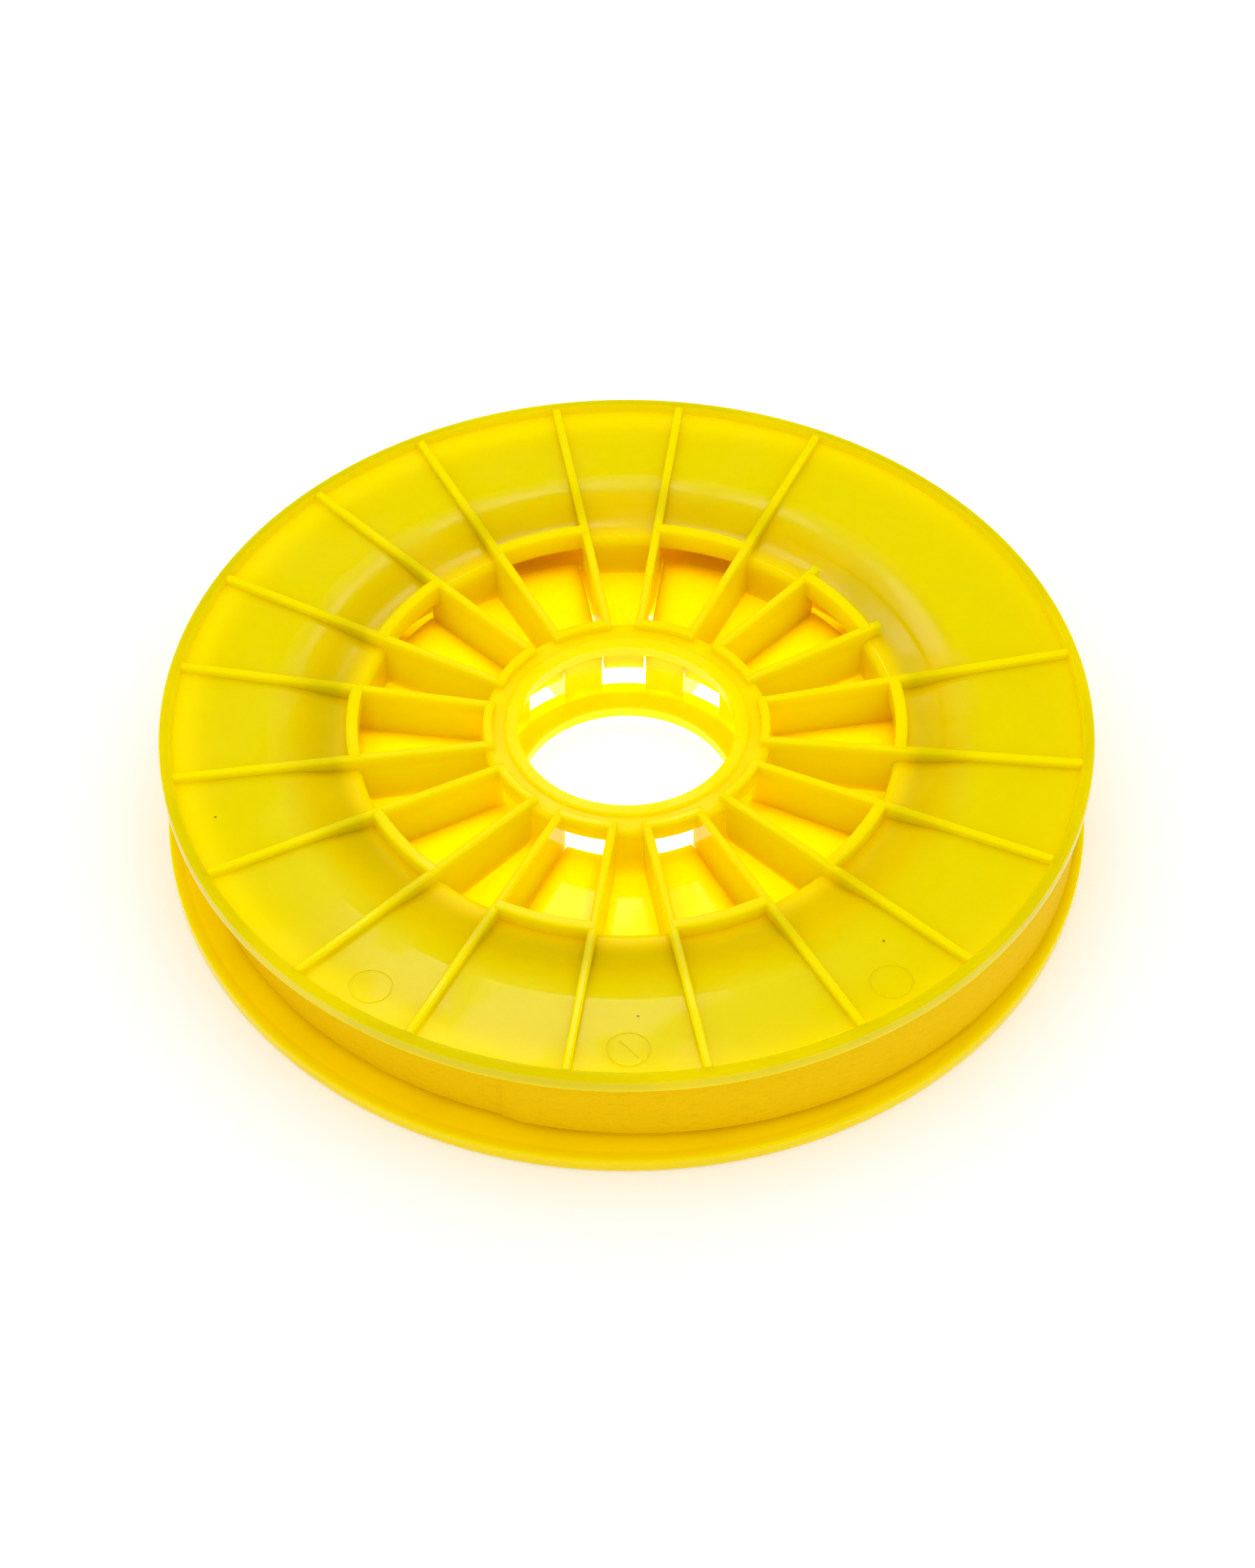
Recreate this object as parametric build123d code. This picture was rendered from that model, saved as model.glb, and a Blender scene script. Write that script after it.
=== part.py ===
from build123d import *
from math import atan2, cos, degrees, radians, sin, tan
import os

# A plastic reel made of two identical half mouldings that meet face to face, with a strip wound
# in the groove between their flanges. Millimetres, +Z up, origin at the centre of the lower face.

# Overall sizes
flange_diameter = 220.0
overall_height = 33.0
bore_diameter = 51.5

# Flange
rim_height = 4.0
lip_width = 2.6
dish_depth_at_lip = 2.0
dish_depth_at_barrel = 3.0
dish_depth_at_wall = 5.3
web_thickness = 2.0
valley_radius = 70.0
edge_round = 0.5
rim_round = 1.1
trough_round = 1.8
valley_round = 40.0
slope_round = 50.0

# Winding barrel
barrel_diameter = 160.0
barrel_wall = 2.0

# Ring wall between the dish and the pockets
ring_wall_outer = 66.2
ring_wall_thickness = 2.8
ring_wall_drop = 1.5

# Ribs: two for each of ten pockets, parallel to the line between pocket and window
pocket_count = 10
rib_thickness = 2.0
rib_shift = 1.25
rib_drop_at_axis = 4.3
rib_inner = 31.8
short_rib_end = 68.5
label_window = 3

# Pockets reach past the middle, between the pockets of the other half
pocket_inner = 32.3
pocket_wall = 2.0
pocket_floor = 1.8
pocket_reach = 1.8
pocket_cove = 3.0

# Hub
hub_plate_outer = 34.3
hub_plate_depth = 4.8
hub_plate_thickness = 2.4
hub_plate_round = 1.4
bore_ring_outer = 29.0
bore_ring_depth = 4.0
hub_wall_inner = 31.8
hub_wall_outer = 34.0
hub_wall_depth = 2.8

# Shallow round marks left in the dish by the mould, at these angles; one of them has a slot across it
mark_circle = 99.5
mark_radius = 5.0
mark_line = 0.45
mark_depth = 0.2
mark_angles = (-36.0, -1.0, 35.0)
slotted_mark = -1.0
slot_length = 6.4
slot_width = 0.8
slot_turn = 40.0

# Wound strip
strip_width = 22.4
strip_thickness = 1.0
strip_clearance = 0.3
winding_mean = 104.0
winding_lean = 2.3
winding_lean_angle = -5.0
winding_flat = 1.3
winding_flat_angle = -95.0
strip_end_angle = -107.0
outline_steps = 36

# Worked out
flange_radius = flange_diameter / 2
bore_radius = bore_diameter / 2
barrel_radius = barrel_diameter / 2
face = overall_height / 2
pitch = 360 / pocket_count
half_sector = pitch / 4
lip_inner = flange_radius - lip_width
dish_at_lip = face - dish_depth_at_lip
dish_at_barrel = face - dish_depth_at_barrel
dish_at_wall = face - dish_depth_at_wall
ring_wall_inner = ring_wall_outer - ring_wall_thickness
inner_face_at_rim = face - rim_height
web_under_barrel = dish_at_barrel - web_thickness
web_under_wall = dish_at_wall - web_thickness
hub_plate_under = face - hub_plate_depth - hub_plate_thickness


def turned(points):
    """Solid of revolution about Z from a closed outline of radius and height."""
    outline = Plane.XZ * make_face(Polyline(*points, close=True))
    return revolve(outline, Axis.Z, 360)


def circle_edges(shape, radius, height):
    """The round edges of a turned shape at one radius and height."""
    return [
        edge for edge in shape.edges().filter_by(GeomType.CIRCLE)
        if abs(edge.radius - radius) < 0.01 and abs(edge.arc_center.Z - height) < 0.01
    ]


def tube(inner, outer, low, high):
    """Plain ring between two radii and two heights."""
    return turned([(inner, low), (outer, low), (outer, high), (inner, high)])


def sector(shift, low, high):
    """Wedge about +X whose sides run parallel to the sector lines, moved out by shift."""
    near, far = 10.0, flange_radius + 10
    slope = tan(radians(half_sector))
    side = shift / cos(radians(half_sector))
    corners = [
        (near, -(near * slope + side)),
        (far, -(far * slope + side)),
        (far, far * slope + side),
        (near, near * slope + side),
    ]
    wedge = extrude(make_face(Polyline(*corners, close=True)), high - low)
    return Pos(0, 0, low) * wedge


def rounded_ring(inner, outer, low, high):
    """Ring whose two top edges are rounded."""
    ring = tube(inner, outer, low, high)
    top = ring.edges().filter_by(GeomType.CIRCLE).group_by(Axis.Z)[-1]
    return fillet(top, edge_round)


def rib_top(radius):
    """Height of a rib's top edge, which falls gently towards the axis."""
    return face - rib_drop_at_axis * (1 - radius / flange_radius)


def rib(outer_end):
    """One rib along +X, which is also the side wall of a pocket below the ring wall."""
    low = -pocket_reach
    web_inside = web_thickness / 2
    outline = [
        (rib_inner, hub_plate_under),
        (pocket_inner, hub_plate_under),
        (pocket_inner, low),
        (ring_wall_outer, low),
        (ring_wall_outer, dish_at_wall - web_inside),
    ]
    if outer_end > valley_radius:
        outline += [
            (valley_radius, dish_at_wall - web_inside),
            (barrel_radius, dish_at_barrel - web_inside),
            (outer_end, dish_at_lip - web_inside),
            (outer_end, rib_top(outer_end)),
        ]
    else:
        outline += [
            (outer_end, dish_at_wall - web_inside),
            (outer_end, rib_top(outer_end)),
        ]
    outline.append((rib_inner, rib_top(rib_inner)))
    side = Plane.XZ * make_face(Polyline(*outline, close=True))
    blade = extrude(side, rib_thickness / 2, both=True)
    long_edges = blade.edges().filter_by(lambda edge: edge.length > 30 and edge.center().Z > 12)
    return fillet(long_edges, edge_round)


def turned_body():
    """Everything that goes right round one half: flange, lip, barrel, bore ring and hub plate."""
    flange = turned([
        (ring_wall_inner, web_under_wall),
        (valley_radius - web_thickness / 2, web_under_wall),
        (barrel_radius - barrel_wall, web_under_barrel),
        (barrel_radius, web_under_barrel),
        (lip_inner, inner_face_at_rim),
        (flange_radius, inner_face_at_rim),
        (flange_radius, face),
        (lip_inner, face),
        (lip_inner - 0.4, dish_at_lip),
        (barrel_radius, dish_at_barrel),
        (valley_radius, dish_at_wall),
        (ring_wall_inner, dish_at_wall),
    ])
    flange = fillet(circle_edges(flange, flange_radius, face), rim_round)
    flange = fillet(circle_edges(flange, lip_inner, face), edge_round)
    flange = fillet(circle_edges(flange, flange_radius, inner_face_at_rim), edge_round)
    flange = fillet(circle_edges(flange, ring_wall_inner, dish_at_wall), trough_round)
    flange = fillet(circle_edges(flange, valley_radius, dish_at_wall), valley_round)
    flange = fillet(circle_edges(flange, barrel_radius, dish_at_barrel), slope_round)
    barrel = tube(barrel_radius - barrel_wall, barrel_radius, 0, web_under_barrel + 0.4)
    hub_plate = tube(bore_radius, hub_plate_outer, hub_plate_under, face - hub_plate_depth)
    plate_rim = circle_edges(hub_plate, hub_plate_outer, face - hub_plate_depth)
    hub_plate = fillet(plate_rim, hub_plate_round)
    bore_ring = rounded_ring(bore_radius, bore_ring_outer, hub_plate_under, face - bore_ring_depth)
    return flange + barrel + hub_plate + bore_ring


def pocket():
    """Floor, end wall and outer wall of one pocket, centred on +X, with a cove at the inner end."""
    low = -pocket_reach
    floor_top = low + pocket_floor
    end_wall_face = pocket_inner + pocket_wall
    end_wall_top = face - hub_plate_depth - hub_plate_round
    channel = turned([
        (pocket_inner, low),
        (ring_wall_outer, low),
        (ring_wall_outer, dish_at_wall - trough_round),
        (ring_wall_inner, dish_at_wall - trough_round),
        (ring_wall_inner, floor_top),
        (end_wall_face, floor_top),
        (end_wall_face, end_wall_top),
        (pocket_inner, end_wall_top),
    ])
    channel = fillet(circle_edges(channel, end_wall_face, floor_top), pocket_cove)
    return sector(-rib_shift, low - 5, face) & channel


def window_walls():
    """Short arc walls that close the outer and inner ends of one window, centred on +X."""
    wedge = sector(rib_shift, -face, face)
    outer = rounded_ring(ring_wall_inner, ring_wall_outer, web_under_wall, face - ring_wall_drop)
    inner = rounded_ring(hub_wall_inner, hub_wall_outer, hub_plate_under, face - hub_wall_depth)
    return (wedge & outer) + (wedge & inner)


def mould_mark(angle):
    """Cutter for one shallow round mark, laid on the slope of the dish."""
    rise = dish_at_lip - dish_at_barrel
    run = lip_inner - barrel_radius
    height = dish_at_barrel + rise * (mark_circle - barrel_radius) / run
    line = Cylinder(mark_radius, 2 * mark_depth) - Cylinder(mark_radius - mark_line, 2 * mark_depth)
    if angle == slotted_mark:
        line += Rot(0, 0, slot_turn) * Box(slot_length, slot_width, 2 * mark_depth)
    slope = degrees(atan2(rise, run))
    return Rot(0, 0, angle) * Pos(mark_circle, 0, height) * Rot(0, -slope, 0) * line


def half_reel():
    """One half moulding, open face up, with its meeting plane at zero height."""
    body = turned_body()
    one_pocket = pocket()
    one_window = Rot(0, 0, 2 * half_sector) * window_walls()
    long_rib = rib(lip_inner + 0.5)
    short_rib = rib(short_rib_end)
    pieces = []
    for index in range(pocket_count):
        turn = Rot(0, 0, index * pitch)
        pieces.append(turn * one_pocket)
        pieces.append(turn * one_window)
        for side in (-1, 1):
            next_window = index if side > 0 else (index - 1) % pocket_count
            blade = short_rib if next_window == label_window else long_rib
            line = Rot(0, 0, index * pitch + side * half_sector) * Pos(0, -side * rib_shift, 0)
            pieces.append(line * blade)
    whole = body.fuse(*pieces).clean()
    return whole - [mould_mark(angle) for angle in mark_angles]


def winding_radius(angle):
    """Outer radius of the winding, which lies a little to one side and has a flatter front."""
    lean = winding_lean * cos(radians(angle - winding_lean_angle))
    flat = winding_flat * cos(radians(2 * (angle - winding_flat_angle)))
    return winding_mean + lean - flat


def wound_strip():
    """The winding as one solid; its outer lap ends in a step as thick as the strip."""
    points = []
    for step in range(outline_steps + 1):
        turn = step / outline_steps
        angle = strip_end_angle + 360 * turn
        radius = winding_radius(angle) + strip_thickness * (0.5 - turn)
        points.append((radius * cos(radians(angle)), radius * sin(radians(angle))))
    lap = Spline(*points)
    end = Line(points[-1], points[0])
    outline = make_face(lap + end) - Circle(barrel_radius + strip_clearance)
    return extrude(outline, strip_width)


def main():
    os.makedirs("parts", exist_ok=True)
    half = half_reel()
    first_pocket = -90
    upper = Pos(0, 0, face) * Rot(0, 0, first_pocket) * half
    flipped = Rot(180, 0, 0) * half
    lower = Pos(0, 0, face) * Rot(0, 0, first_pocket + 2 * half_sector) * flipped
    strip = Pos(0, 0, (overall_height - strip_width) / 2) * wound_strip()
    nodes = {"upper_half": upper, "lower_half": lower, "wound_strip": strip}
    for name, shape in nodes.items():
        shape.label = name
        export_step(shape, f"parts/{name}.step")
        print(name, "solids", len(shape.solids()), "volume", round(shape.volume))


main()
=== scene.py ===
import math
import bpy
import numpy as np
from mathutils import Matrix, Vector


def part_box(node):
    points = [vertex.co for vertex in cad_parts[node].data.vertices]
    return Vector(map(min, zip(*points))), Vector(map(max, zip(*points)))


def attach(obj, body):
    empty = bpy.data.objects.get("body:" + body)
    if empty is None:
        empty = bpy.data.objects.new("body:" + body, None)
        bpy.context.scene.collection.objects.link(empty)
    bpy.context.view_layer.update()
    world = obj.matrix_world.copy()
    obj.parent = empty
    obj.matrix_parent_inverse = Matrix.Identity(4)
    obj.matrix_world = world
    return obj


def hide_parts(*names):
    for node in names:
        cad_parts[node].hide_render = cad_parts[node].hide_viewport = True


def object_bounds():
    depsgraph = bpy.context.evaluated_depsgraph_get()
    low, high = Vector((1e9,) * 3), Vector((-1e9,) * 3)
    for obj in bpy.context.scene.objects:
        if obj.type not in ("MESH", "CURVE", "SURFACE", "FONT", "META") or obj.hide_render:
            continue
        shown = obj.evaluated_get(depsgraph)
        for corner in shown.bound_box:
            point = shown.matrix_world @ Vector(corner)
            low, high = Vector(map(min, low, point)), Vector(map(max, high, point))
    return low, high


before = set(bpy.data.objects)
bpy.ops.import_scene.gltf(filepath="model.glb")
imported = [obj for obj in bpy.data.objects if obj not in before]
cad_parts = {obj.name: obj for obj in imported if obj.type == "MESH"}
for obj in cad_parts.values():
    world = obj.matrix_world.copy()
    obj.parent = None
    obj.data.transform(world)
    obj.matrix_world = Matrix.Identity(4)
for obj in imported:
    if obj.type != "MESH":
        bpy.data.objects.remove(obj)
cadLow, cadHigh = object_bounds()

print("frame loaded:", ", ".join(sorted(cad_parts)))

flangeRadius = (cadHigh.x - cadLow.x) / 2
middleHeight = (cadLow.z + cadHigh.z) / 2
rimHeight = cadHigh.z


class Value:
    # one output of a node; arithmetic on it adds Math nodes to the same tree
    def __init__(self, shade, output):
        self.shade = shade
        self.output = output

    def __add__(self, other):
        return self.shade.maths("ADD", self, other)

    def __radd__(self, other):
        return self.shade.maths("ADD", other, self)

    def __sub__(self, other):
        return self.shade.maths("SUBTRACT", self, other)

    def __rsub__(self, other):
        return self.shade.maths("SUBTRACT", other, self)

    def __mul__(self, other):
        return self.shade.maths("MULTIPLY", self, other)

    def __rmul__(self, other):
        return self.shade.maths("MULTIPLY", other, self)

    def __pow__(self, other):
        return self.shade.maths("POWER", self, other)

    def __lt__(self, other):
        return self.shade.maths("LESS_THAN", self, other)

    def __abs__(self):
        return self.shade.maths("ABSOLUTE", self)


class Shade:
    # a material being made: its tree and its Principled shader
    def __init__(self, name, constants):
        self.material = bpy.data.materials.new(name)
        self.material.use_nodes = True
        self.tree = self.material.node_tree
        self.shader = self.tree.nodes["Principled BSDF"]
        for socket, value in constants.items():
            self.shader.inputs[socket].default_value = value

    def add(self, kind, settings, inputs, output=0):
        # settings first, then the values and links of the sockets
        node = self.tree.nodes.new(kind)
        for key, value in settings.items():
            setattr(node, key, value)
        for key, value in inputs.items():
            if isinstance(value, Value):
                self.tree.links.new(value.output, node.inputs[key])
            else:
                node.inputs[key].default_value = value
        return Value(self, node.outputs[output])

    def maths(self, operation, *terms):
        return self.add("ShaderNodeMath", {"operation": operation}, dict(enumerate(terms)))

    def step(self, value, low, high):
        # 0 below low, 1 above high, smooth between
        settings = {"interpolation_type": "SMOOTHSTEP"}
        inputs = {"Value": value, "From Min": low, "From Max": high}
        return self.add("ShaderNodeMapRange", settings, inputs)

    def noise(self, vector, scale, detail=2.0):
        inputs = {"Vector": vector, "Scale": scale, "Detail": detail}
        return self.add("ShaderNodeTexNoise", {}, inputs)

    def blend(self, factor, first, second):
        settings = {"data_type": "RGBA"}
        return self.add("ShaderNodeMix", settings, {"Factor": factor, 6: first, 7: second}, 2)

    def feed(self, socket, value):
        self.tree.links.new(value.output, self.shader.inputs[socket])


reelLook = {
    "colour": (0.95, 0.725, 0.0, 1),
    # painted shade colour, for the web over the barrel and for the rims
    "paintedShadeColour": (0.66, 0.52, 0.0, 1),
    "warmColour": (0.945, 0.705, 0.0, 1),
    # painted light colour for the trough walls and floors, and painted shade colour for the bore
    # wall
    "troughLightColour": (0.965, 0.79, 0.0, 1),
    "boreShadeColour": (0.95, 0.63, 0.0, 1),
    "insideStart": 0.0305,  # radius where the bore wall's painted shade gives way to the troughs' painted light
    "insideDepth": 0.0085,  # height from the middle up to which a wall is inside
    "insideFade": 0.003,
    "ringStart": 0.0645,
    "ringFadeIn": 0.006,
    "ringEnd": 0.086,
    "ringFadeOut": 0.013,
    "dishHeight": 0.0095,
    "rimStart": 0.1068,
    # how much painted shade the upper and the lower rim get
    "rimShareHigh": 0.95,
    "rimShareLow": 0.3,
    "edgeFade": 0.001,
    "driftScale": 22,
    "driftDetail": 3.0,
    "driftRange": (0.42, 0.7),
    "driftShare": 0.35,
    "translucency": 1.0,
    "lightReach": (0.0040, 0.0055, 0.0003),
    "roughness": 0.09,
    "smudgeScale": 60,
    "smudgeDetail": 8.0,
    "smudgeRange": (0.44, 0.62),
    "smudgeDulling": 0.13,
    "peelScale": 900,
    "peelDulling": 0.04,
    "waveScale": 120,
    "waveShare": 0.8,
    "peelShare": 0.2,
    "bumpStrength": 0.5,
    "speckScale": 125.0,
    "speckSize": 0.00032,
    "speckShare": 0.12,  # share of the pattern's cells that hold a speck
    "speckStrength": 0.8,
    "speckColour": (0.10, 0.07, 0.01, 1),
    "peel": 0.00004,
}


def reelPlastic(look):
    shade = Shade("reelPlastic", {
        "IOR": 1.46,
        "Specular IOR Level": 0.2,
        "Subsurface Weight": look["translucency"],
        "Subsurface Radius": look["lightReach"],
        "Subsurface Scale": 1.0,
    })
    place = shade.add("ShaderNodeTexCoord", {}, {}, "Object")
    x = shade.add("ShaderNodeSeparateXYZ", {}, {"Vector": place}, "X")
    y = shade.add("ShaderNodeSeparateXYZ", {}, {"Vector": place}, "Y")
    z = shade.add("ShaderNodeSeparateXYZ", {}, {"Vector": place}, "Z")
    radius = (x * x + y * y) ** 0.5
    fromMiddle = abs(z - middleHeight)

    # painted shade: the web is painted darker over the barrel, where no light comes through it
    ringIn = shade.step(radius, look["ringStart"], look["ringStart"] + look["ringFadeIn"])
    ringOut = 1 - shade.step(radius, look["ringEnd"] - look["ringFadeOut"], look["ringEnd"])
    onDish = shade.step(fromMiddle, look["dishHeight"], look["dishHeight"] + look["edgeFade"])
    colour = shade.blend(ringIn * ringOut * onDish, look["colour"], look["paintedShadeColour"])

    # painted shade: the upper rim, thicker than its web, is painted darker for the light it holds
    # back; the lower one, lit from below, gets less painted shade
    onRim = shade.step(radius, look["rimStart"], look["rimStart"] + look["edgeFade"])
    upperHalf = shade.step(z, middleHeight, middleHeight + look["edgeFade"])
    rimShade = look["rimShareLow"] + upperHalf * (look["rimShareHigh"] - look["rimShareLow"])
    colour = shade.blend(onRim * rimShade, colour, look["paintedShadeColour"])

    # painted light and shade: the trough walls and floors are painted a lighter yellow for light
    # that soaks through the thin walls, and the bore wall a darker, more orange yellow as painted
    # shade
    insideTop = look["insideDepth"] + look["insideFade"]
    inside = 1 - shade.step(fromMiddle, look["insideDepth"], insideTop)
    pastBore = shade.step(radius, look["insideStart"], look["insideStart"] + look["edgeFade"])
    colour = shade.blend(inside * pastBore, colour, look["troughLightColour"])
    colour = shade.blend(inside * (1 - pastBore), colour, look["boreShadeColour"])

    # slow drift of colour through the moulding
    driftNoise = shade.noise(place, look["driftScale"], look["driftDetail"])
    drift = shade.step(driftNoise, *look["driftRange"])
    colour = shade.blend(drift * look["driftShare"], colour, look["warmColour"])

    # a few dark specks caught in the plastic
    speckInputs = {"Vector": place, "Scale": look["speckScale"]}
    distance = shade.add("ShaderNodeTexVoronoi", {}, speckInputs, "Distance")
    cell = shade.add("ShaderNodeTexVoronoi", {}, speckInputs, "Color")
    chosen = shade.add("ShaderNodeSeparateColor", {}, {"Color": cell}, "Red") < look["speckShare"]
    speck = chosen * (distance < look["speckSize"] * look["speckScale"])
    colour = shade.blend(speck * look["speckStrength"], colour, look["speckColour"])
    shade.feed("Base Color", colour)

    # handling smudges change the gloss
    smudgeNoise = shade.noise(place, look["smudgeScale"], look["smudgeDetail"])
    smudge = shade.step(smudgeNoise, *look["smudgeRange"])
    fine = shade.noise(place, look["peelScale"])
    dulling = smudge * look["smudgeDulling"]
    shade.feed("Roughness", look["roughness"] + dulling + fine * look["peelDulling"])

    # faint waviness from the mould and a finer peel
    wave = shade.noise(place, look["waveScale"])
    height = wave * look["waveShare"] + fine * look["peelShare"]
    bumpInputs = {"Strength": look["bumpStrength"], "Distance": look["peel"], "Height": height}
    shade.feed("Normal", shade.add("ShaderNodeBump", {}, bumpInputs, "Normal"))
    return shade.material


plastic = reelPlastic(reelLook)
for nodeName in ("upper_half", "lower_half"):
    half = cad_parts[nodeName]
    for materialSlot in half.material_slots:
        materialSlot.material = plastic
print("reel plastic on both halves")


windingShape = {
    "mean": 0.104,
    "lean": 0.0023,
    "leanAngle": -5.0,
    "flat": 0.0013,
    "flatAngle": -95.0,
    "endAngle": -107.0,
    "thickness": 0.001,
    "inner": 0.0803,
    "edgeRound": 0.0005,
    "roundPoints": 5,
    "endTaper": 0.65,  # share of the thickness that the outer end is thinned by
    "endRun": 0.008,  # share of a turn that the thinning takes
    "lapDepth": 0.00025,
    "lapsShown": 8,
    "lapPoints": 6,  # points across each lap
    "grooveWidth": 0.12,  # share of a lap
    "grooveStart": 1.5,  # in edge rounds, from the outer face
    "turnSteps": 420,
    "seamShare": 0.4,  # share of a step by which the last row stops short of the first
}

stripLook = {
    "colour": (0.89, 0.575, 0.0, 1),
    "grainColour": (0.66, 0.36, 0.0, 1),
    "grainStretch": (0.35, 1.0, 1.0),  # the grain runs along the strip
    "noiseDetail": 3.0,
    "grainScale": 2600,
    "grainRange": (0.52, 0.72),
    "grainShare": 0.55,
    "blotchScale": 260,
    "blotchRange": (0.5, 0.75),
    "blotchShare": 0.2,
    "roughness": 0.55,
    "grainDulling": 0.2,
    "grain": 0.00005,
    "bumpStrength": 0.6,
}


def stripMaterial(look):
    shade = Shade("stripMatt", {"IOR": 1.45, "Specular IOR Level": 0.05})
    along = shade.add("ShaderNodeUVMap", {"uv_map": "strip"}, {})
    stretching = {"Vector": along, "Scale": look["grainStretch"]}
    stretched = shade.add("ShaderNodeMapping", {}, stretching)
    grain = shade.noise(stretched, look["grainScale"], look["noiseDetail"])
    blotch = shade.noise(along, look["blotchScale"], look["noiseDetail"])
    dark = shade.step(grain, *look["grainRange"]) * look["grainShare"]
    dark = dark + shade.step(blotch, *look["blotchRange"]) * look["blotchShare"]
    shade.feed("Base Color", shade.blend(dark, look["colour"], look["grainColour"]))
    shade.feed("Roughness", look["roughness"] + grain * look["grainDulling"])
    bumpInputs = {"Strength": look["bumpStrength"], "Distance": look["grain"], "Height": grain}
    shade.feed("Normal", shade.add("ShaderNodeBump", {}, bumpInputs, "Normal"))
    return shade.material


def windingOuter(angle, shape):
    # mean radius, plus a lean to one side, less a flattening twice round
    lean = shape["lean"] * np.cos(angle - math.radians(shape["leanAngle"]))
    flat = shape["flat"] * np.cos(2 * (angle - math.radians(shape["flatAngle"])))
    return shape["mean"] + lean - flat


def woundStrip(shape):
    # The section goes in over the top, down the barrel side, out underneath and up the outer face.
    # Round the reel the outer face falls by one thickness, so the last lap ends in a step;
    # near that end the lap is thinned by a smooth step of the share of a turn from it.
    # On the top and underside a groove follows each lap: its depth times e to the minus square
    # of the distance from the lap's edge over the groove's width.
    low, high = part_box("wound_strip")
    steps = shape["turnSteps"]
    turn = np.linspace(0, 1, steps) * (1 - shape["seamShare"] / steps)
    angle = math.radians(shape["endAngle"]) + 2 * math.pi * turn
    fromEnd = np.clip(turn / shape["endRun"], 0, 1)
    thinned = shape["endTaper"] * (1 - fromEnd * fromEnd * (3 - 2 * fromEnd))
    outer = windingOuter(angle, shape) + shape["thickness"] * (0.5 - turn - thinned)

    corner = shape["edgeRound"]
    bend = np.linspace(0, math.pi / 2, shape["roundPoints"])
    lapSpan = np.linspace(0, 1, shape["lapPoints"] * shape["lapsShown"] + 1)[1:]
    lapsInward = corner + lapSpan * shape["thickness"] * shape["lapsShown"]
    inward = np.concatenate([corner * (1 - np.sin(bend[::-1])), lapsInward])
    drop = np.concatenate([corner * (1 - np.cos(bend[::-1])), 0 * lapSpan])

    lap = (inward[None, :] / shape["thickness"] + turn[:, None]) % 1
    fromLapEdge = np.minimum(lap, 1 - lap)
    pastCorner = inward > shape["grooveStart"] * corner
    groove = np.exp(-((fromLapEdge / shape["grooveWidth"]) ** 2)) * pastCorner
    topRadius = outer[:, None] - inward[None, :]
    topHeight = high.z - drop[None, :] - shape["lapDepth"] * groove
    bottomHeight = low.z + drop[None, :] + shape["lapDepth"] * groove

    innerRadius = np.full((steps, 1), shape["inner"])
    radius = np.hstack([topRadius, innerRadius, innerRadius, topRadius[:, ::-1]])
    innerTop, innerBottom = innerRadius * 0 + high.z, innerRadius * 0 + low.z
    height = np.hstack([topHeight, innerTop, innerBottom, bottomHeight[:, ::-1]])

    columns = radius.shape[1]
    x, y = radius * np.cos(angle)[:, None], radius * np.sin(angle)[:, None]
    points = np.stack([x, y, height], axis=-1)
    index = np.arange(steps * columns).reshape(steps, columns)
    nextTurn = np.roll(index, -1, axis=0)
    nextColumn = np.roll(index, -1, axis=1)
    nextBoth = np.roll(nextTurn, -1, axis=1)
    faces = np.stack([index, nextColumn, nextBoth, nextTurn], axis=-1).reshape(-1, 4)

    mesh = bpy.data.meshes.new("strip_winding")
    mesh.from_pydata(points.reshape(-1, 3).tolist(), [], faces.tolist())
    sideways = np.diff(radius[0], prepend=radius[0, 0])
    upward = np.diff(height[0], prepend=height[0, 0])
    across = np.cumsum(np.hypot(sideways, upward))
    length = np.repeat((turn * 2 * math.pi * shape["mean"])[:, None], columns, axis=1)
    uv = np.stack([length, np.repeat(across[None, :], steps, axis=0)], axis=-1).reshape(-1, 2)
    layer = mesh.uv_layers.new(name="strip")
    corners = np.empty(len(mesh.loops), dtype=np.int32)
    mesh.loops.foreach_get("vertex_index", corners)
    layer.data.foreach_set("uv", uv[corners].ravel().astype(np.float32))
    mesh.polygons.foreach_set("use_smooth", np.ones(len(mesh.polygons), dtype=bool))
    mesh.update()
    return mesh


winding = bpy.data.objects.new("strip_winding", woundStrip(windingShape))
bpy.context.collection.objects.link(winding)
winding.data.materials.append(stripMaterial(stripLook))
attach(winding, "root")
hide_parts("wound_strip")
print("wound strip:", len(winding.data.polygons), "faces")


studio = {
    "floorRadius": 6.0,
    "floorSides": 96,
    "floorColour": (0.93, 0.93, 0.93, 1),
    # the floor's own glow, painted light from a pad under the reel, dimmer below the bore and
    # beyond it
    "padGlow": 1.85,
    "padHole": 0.026,
    "padHoleFade": 0.006,
    "boreGlow": 0.34,
    "padEdge": 0.074,
    "padFade": 0.098,
    "beyondGlow": 0.07,
    "domeStrength": 0.93,
    "overheadPower": 5.0,
    "overheadSize": 1.6,
    "overheadHeight": 1.7,
    "sheenPower": 0.11,
    "sheenWidth": 0.13,
    "sheenDepth": 0.06,
    "sheenElevation": 46.6,
    "sheenDistance": 0.9,
    "sheenAim": (-0.018, -0.085),
    "lightBounces": 16,  # light turns many times in a pale, see-through plastic
    "spareBounces": 8,
}


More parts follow.
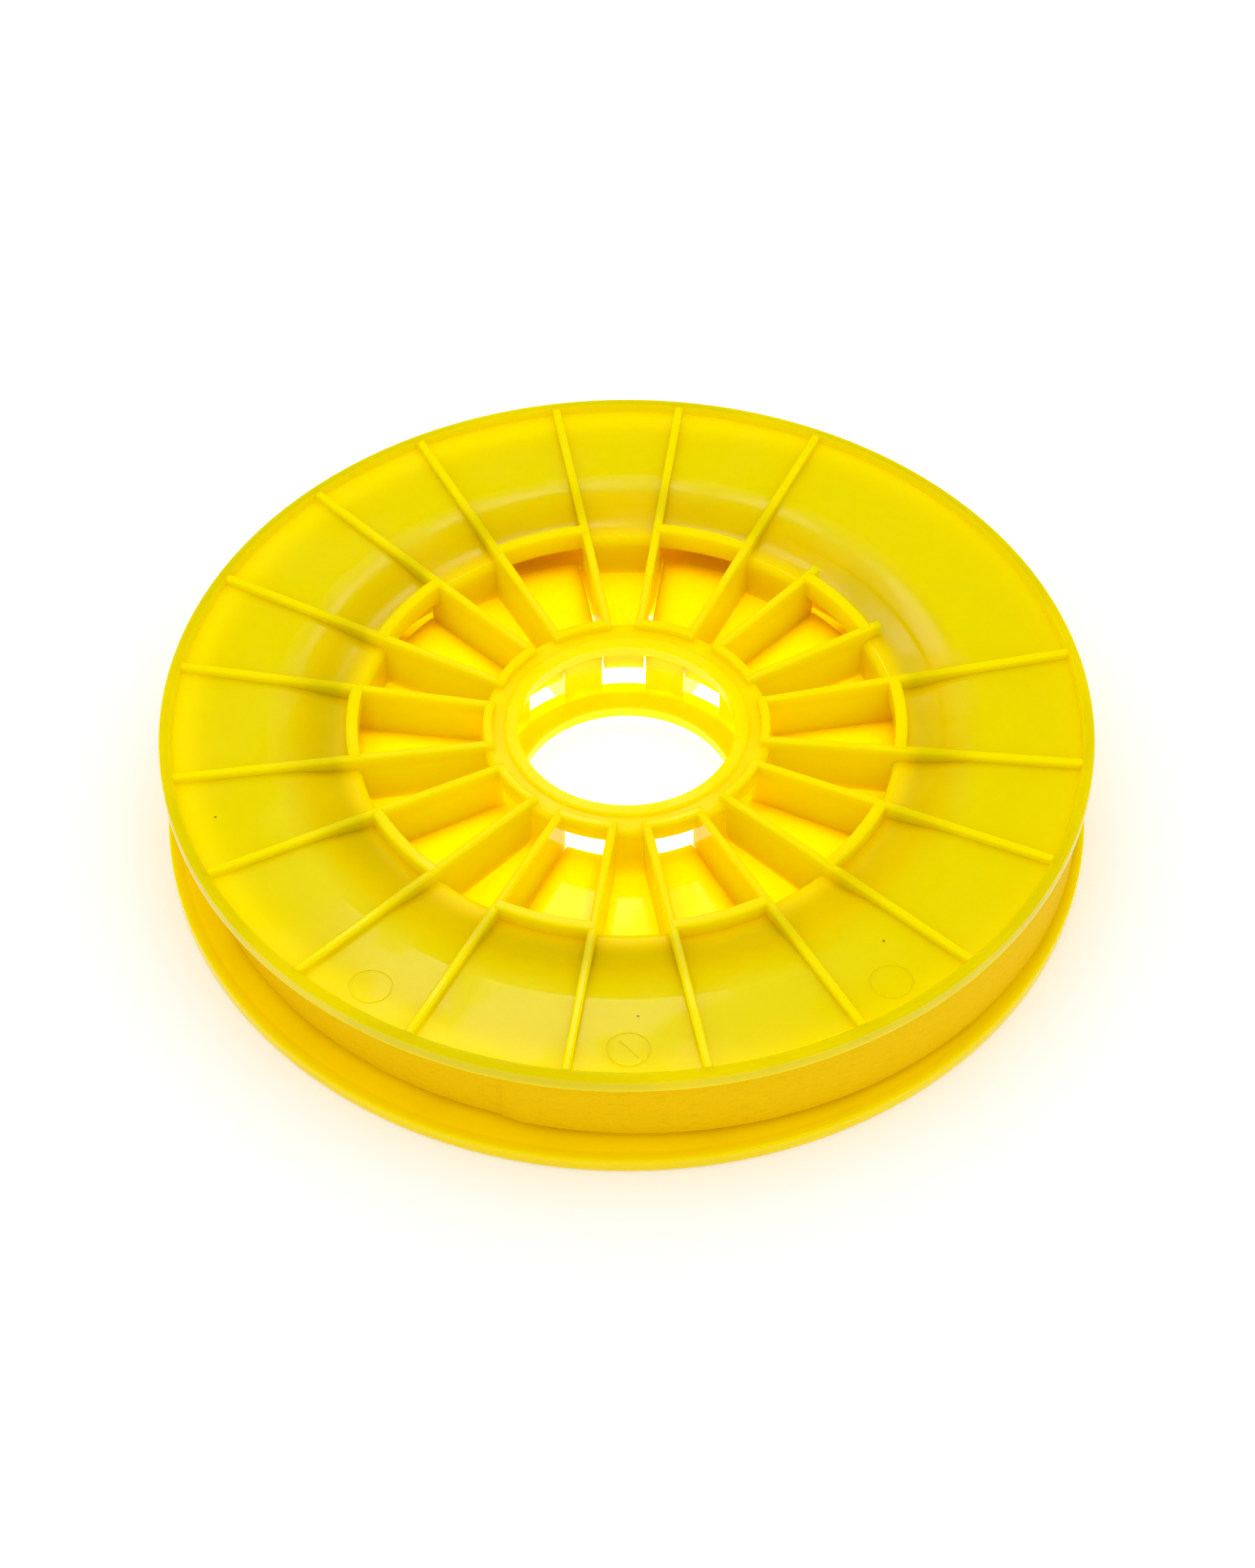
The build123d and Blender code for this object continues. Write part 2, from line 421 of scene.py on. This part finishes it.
def glowPadFloor(values):
    # a disc: every point is radius times the cosine and sine of its share of a turn
    sides = values["floorSides"]
    share = np.linspace(0, 2 * math.pi, sides, endpoint=False)
    circle = np.stack([np.cos(share), np.sin(share), 0 * share], axis=-1)
    points = circle * values["floorRadius"]
    mesh = bpy.data.meshes.new("floor")
    mesh.from_pydata(points.tolist(), [], [list(range(sides))])
    floor = bpy.data.objects.new("floor", mesh)
    bpy.context.collection.objects.link(floor)
    shade = Shade("glowPadFloor", {
        "Roughness": 0.9,
        "Base Color": values["floorColour"],
        "Specular IOR Level": 0.1,
        "Emission Strength": values["padGlow"],
    })
    # painted light: the floor glows as a pad under the reel, lighting it from below, softer below
    # the bore and fading out beyond its edge
    place = shade.add("ShaderNodeTexCoord", {}, {}, "Object")
    x = shade.add("ShaderNodeSeparateXYZ", {}, {"Vector": place}, "X")
    y = shade.add("ShaderNodeSeparateXYZ", {}, {"Vector": place}, "Y")
    radius = (x * x + y * y) ** 0.5
    belowBore, beyond = values["boreGlow"], values["beyondGlow"]
    inner = shade.step(radius, values["padHole"], values["padHole"] + values["padHoleFade"])
    outer = shade.step(radius, values["padEdge"], values["padFade"])
    glow = shade.blend(inner, (belowBore, belowBore, belowBore, 1), (1, 1, 1, 1))
    shade.feed("Emission Color", shade.blend(outer, glow, (beyond, beyond, beyond, 1)))
    mesh.materials.append(shade.material)


def softbox(name, power, width, depth, place, aim):
    light = bpy.data.lights.new(name, "AREA")
    light.energy = power
    light.shape = "RECTANGLE"
    light.size = width
    light.size_y = depth
    lamp = bpy.data.objects.new(name, light)
    bpy.context.collection.objects.link(lamp)
    lamp.location = place
    lamp.rotation_euler = (Vector(aim) - Vector(place)).to_track_quat("-Z", "Y").to_euler()
    return lamp


glowPadFloor(studio)
world = bpy.data.worlds.new("studio")
world.use_nodes = True
dome = world.node_tree.nodes["Background"]
dome.inputs["Color"].default_value = (1, 1, 1, 1)
dome.inputs["Strength"].default_value = studio["domeStrength"]
world.cycles_visibility.glossy = False
bpy.context.scene.world = world
overheadPlace = (0, 0, studio["overheadHeight"])
side = studio["overheadSize"]
overhead = softbox("overhead", studio["overheadPower"], side, side, overheadPlace, (0, 0, 0))
overhead.visible_glossy = False
rise = math.radians(studio["sheenElevation"])
sheenAim = Vector((*studio["sheenAim"], rimHeight))
sheenFrom = sheenAim + studio["sheenDistance"] * Vector((0, math.cos(rise), math.sin(rise)))
sheenWidth, sheenDepth = studio["sheenWidth"], studio["sheenDepth"]
softbox("sheen", studio["sheenPower"], sheenWidth, sheenDepth, sheenFrom, sheenAim)
bpy.context.scene.cycles.diffuse_bounces = studio["lightBounces"]
bpy.context.scene.cycles.max_bounces = studio["lightBounces"] + studio["spareBounces"]
bpy.context.scene.view_settings.view_transform = "Standard"

cameraView = {
    "lens": 88.48,
    "elevation": 47.69,
    "turn": 1.24,
    "distance": 8.11,  # in flange radii, from the aim point
    "aim": (-0.0027, -0.209),  # in flange radii, on the plane of the upper rim
}


def standCamera(view):
    rise, turn = math.radians(view["elevation"]), math.radians(view["turn"])
    level = math.cos(rise)
    back = Vector((-math.sin(turn) * level, -math.cos(turn) * level, math.sin(rise)))
    aimX, aimY = view["aim"]
    aim = Vector((aimX * flangeRadius, aimY * flangeRadius, rimHeight))
    data = bpy.data.cameras.new("camera")
    data.lens = view["lens"]
    camera = bpy.data.objects.new("camera", data)
    bpy.context.collection.objects.link(camera)
    camera.location = aim + back * view["distance"] * flangeRadius
    camera.rotation_euler = (-back).to_track_quat("-Z", "Y").to_euler()
    bpy.context.scene.camera = camera


standCamera(cameraView)
print("studio and camera set")
